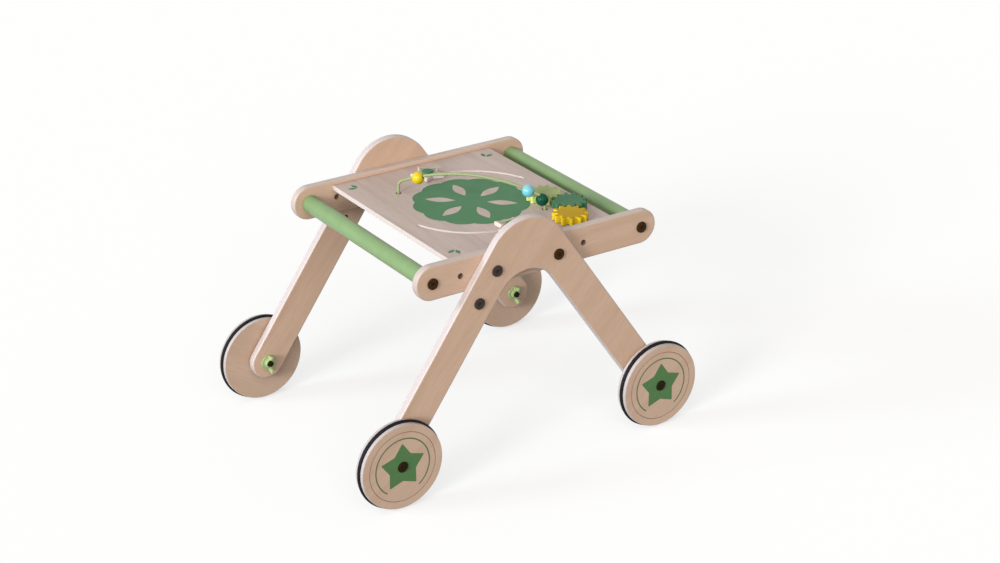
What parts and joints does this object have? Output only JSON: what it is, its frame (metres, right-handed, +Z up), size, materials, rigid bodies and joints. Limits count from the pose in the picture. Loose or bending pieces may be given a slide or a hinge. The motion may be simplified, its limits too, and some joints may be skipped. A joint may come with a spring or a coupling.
{
  "type": "baby push walker",
  "caption": "Wooden push walker for a toddler: A-shaped leg frames on rubber-tyred wheels carry rails, grip bars and an activity board with sliders, meshing gears and a bead wire.",
  "frame": {"origin": "on the floor, midway between the wheels", "axes": "+X towards the rear end, where it is pushed; +Y to the right side; +Z up"},
  "size_m": [0.56, 0.4138, 0.3685],
  "materials": {
    "plywood": "clear lacquered birch plywood, satin",
    "wheel_plywood": "clear lacquered birch plywood with printed figures, satin",
    "board_plywood": "thin lacquered plywood with a green print, satin",
    "green_painted_wood": "pale green paint on turned wood, satin",
    "slider_wood": "lacquered wood, satin",
    "dark_green_paint": "dark green gloss paint on wood",
    "yellow_paint": "yellow gloss paint on wood",
    "blue_paint": "sky blue gloss paint on wood",
    "light_green_paint": "light green gloss paint on wood",
    "coated_wire": "green plastic coated steel wire",
    "tyre_rubber": "black rubber cord, matte",
    "green_nylon": "moulded green nylon",
    "white_nylon": "moulded white nylon",
    "black_steel": "black coated steel",
    "grey_steel": "dark grey coated steel"
  },
  "bodies": {
    "frame": {"leg_frame_left": "plywood", "leg_frame_right": "plywood", "side_rail_left": "plywood", "side_rail_right": "plywood", "activity_board": "board_plywood", "cross_bar_front": "green_painted_wood", "cross_bar_rear": "green_painted_wood", "bead_wire": "coated_wire", "wheel_spacer_front_left": "white_nylon", "wheel_spacer_front_right": "white_nylon", "wheel_spacer_rear_left": "white_nylon", "wheel_spacer_rear_right": "white_nylon", "wire_cap_front": "white_nylon", "wire_cap_rear": "white_nylon", "axle_bolt_front_left": "black_steel", "axle_bolt_front_right": "black_steel", "axle_bolt_rear_left": "black_steel", "axle_bolt_rear_right": "black_steel", "bar_bolt_front_left": "black_steel", "bar_bolt_front_right": "black_steel", "bar_bolt_rear_left": "black_steel", "bar_bolt_rear_right": "black_steel", "leg_nut_front_left": "black_steel", "leg_nut_front_right": "black_steel", "leg_nut_rear_left": "black_steel", "leg_nut_rear_right": "black_steel", "leg_bolt_rear_left": "black_steel", "leg_bolt_rear_right": "black_steel", "leg_bolt_front_left": "grey_steel", "leg_bolt_front_right": "grey_steel", "leg_bolt_lower_left": "grey_steel", "leg_bolt_lower_right": "grey_steel"},
    "wheel_front_left": {"wheel_front_left": "wheel_plywood", "tyre_front_left": "tyre_rubber"},
    "wheel_front_right": {"wheel_front_right": "wheel_plywood", "tyre_front_right": "tyre_rubber"},
    "wheel_rear_left": {"wheel_rear_left": "wheel_plywood", "tyre_rear_left": "tyre_rubber"},
    "wheel_rear_right": {"wheel_rear_right": "wheel_plywood", "tyre_rear_right": "tyre_rubber"},
    "gear_dark_green": {"gear_dark_green": "dark_green_paint", "gear_cap_dark_green": "white_nylon"},
    "gear_yellow": {"gear_yellow": "yellow_paint", "gear_cap_yellow": "white_nylon"},
    "gear_light_green": {"gear_light_green": "light_green_paint", "gear_cap_light_green": "white_nylon"},
    "slider_right": {"slider_star_right": "slider_wood", "slider_knob_right": "dark_green_paint", "slider_cap_right": "white_nylon"},
    "slider_left": {"slider_star_left": "slider_wood", "slider_knob_left": "dark_green_paint", "slider_cap_left": "white_nylon"},
    "bead_yellow": {"bead_yellow": "yellow_paint"},
    "bead_blue": {"bead_blue": "blue_paint"},
    "bead_green": {"bead_green": "dark_green_paint"},
    "wing_nut_front_left": {"wing_nut_front_left": "green_nylon"},
    "wing_nut_front_right": {"wing_nut_front_right": "green_nylon"},
    "wing_nut_rear_left": {"wing_nut_rear_left": "green_nylon"},
    "wing_nut_rear_right": {"wing_nut_rear_right": "green_nylon"}
  },
  "joints": [
    {"name": "wheel_front_left_spin", "type": "hinge", "parent": "frame", "child": "wheel_front_left", "pos_m": [-0.215, -0.1946, 0.065], "axis": [0, -1, 0], "continuous": true},
    {"name": "wheel_front_right_spin", "type": "hinge", "parent": "frame", "child": "wheel_front_right", "pos_m": [-0.215, 0.1946, 0.065], "axis": [0, -1, 0], "continuous": true},
    {"name": "wheel_rear_left_spin", "type": "hinge", "parent": "frame", "child": "wheel_rear_left", "pos_m": [0.215, -0.1946, 0.065], "axis": [0, -1, 0], "continuous": true},
    {"name": "wheel_rear_right_spin", "type": "hinge", "parent": "frame", "child": "wheel_rear_right", "pos_m": [0.215, 0.1946, 0.065], "axis": [0, -1, 0], "continuous": true},
    {"name": "gear_dark_green_spin", "type": "hinge", "parent": "frame", "child": "gear_dark_green", "pos_m": [0.1306, -0.09232, 0.3283], "axis": [0, 0, 1], "continuous": true},
    {"name": "gear_yellow_spin", "type": "hinge", "parent": "frame", "child": "gear_yellow", "pos_m": [0.1057, -0.1298, 0.3283], "axis": [0, 0, 1], "continuous": true},
    {"name": "gear_light_green_spin", "type": "hinge", "parent": "frame", "child": "gear_light_green", "pos_m": [0.11669, -0.04952, 0.3283], "axis": [0, 0, 1], "continuous": true},
    {"name": "slider_right_travel", "type": "hinge", "parent": "frame", "child": "slider_right", "pos_m": [0.027, 0, 0.322], "axis": [0, 0, 1], "range_deg": [-73.5, 5.5]},
    {"name": "slider_left_travel", "type": "hinge", "parent": "frame", "child": "slider_left", "pos_m": [0.027, 0, 0.322], "axis": [0, 0, 1], "range_deg": [-69, 10]},
    {"name": "bead_yellow_travel", "type": "hinge", "parent": "frame", "child": "bead_yellow", "pos_m": [0.027, 0, 0.0915], "axis": [0.7581, 0.6521, 0], "range_deg": [-2.5, 14.3]},
    {"name": "bead_blue_travel", "type": "hinge", "parent": "frame", "child": "bead_blue", "pos_m": [0.027, 0, 0.0915], "axis": [0.7581, 0.6521, 0], "range_deg": [-15.4, 0]},
    {"name": "bead_green_travel", "type": "hinge", "parent": "frame", "child": "bead_green", "pos_m": [0.08504, -0.06747, 0.32726], "axis": [0.7581, 0.6521, 0], "range_deg": [-13, 16]},
    {"name": "wing_nut_front_left_turn", "type": "hinge", "parent": "frame", "child": "wing_nut_front_left", "pos_m": [-0.215, -0.162, 0.065], "axis": [0, 1, 0], "range_deg": [0, 360]},
    {"name": "wing_nut_front_right_turn", "type": "hinge", "parent": "frame", "child": "wing_nut_front_right", "pos_m": [-0.215, 0.162, 0.065], "axis": [0, -1, 0], "range_deg": [0, 360]},
    {"name": "wing_nut_rear_left_turn", "type": "hinge", "parent": "frame", "child": "wing_nut_rear_left", "pos_m": [0.215, -0.162, 0.065], "axis": [0, 1, 0], "range_deg": [0, 360]},
    {"name": "wing_nut_rear_right_turn", "type": "hinge", "parent": "frame", "child": "wing_nut_rear_right", "pos_m": [0.215, 0.162, 0.065], "axis": [0, -1, 0], "range_deg": [0, 360]}
  ],
  "couplings": [
    {"joint": "gear_yellow_spin", "follows": "gear_dark_green_spin", "ratio": -1},
    {"joint": "gear_light_green_spin", "follows": "gear_dark_green_spin", "ratio": -1}
  ]
}
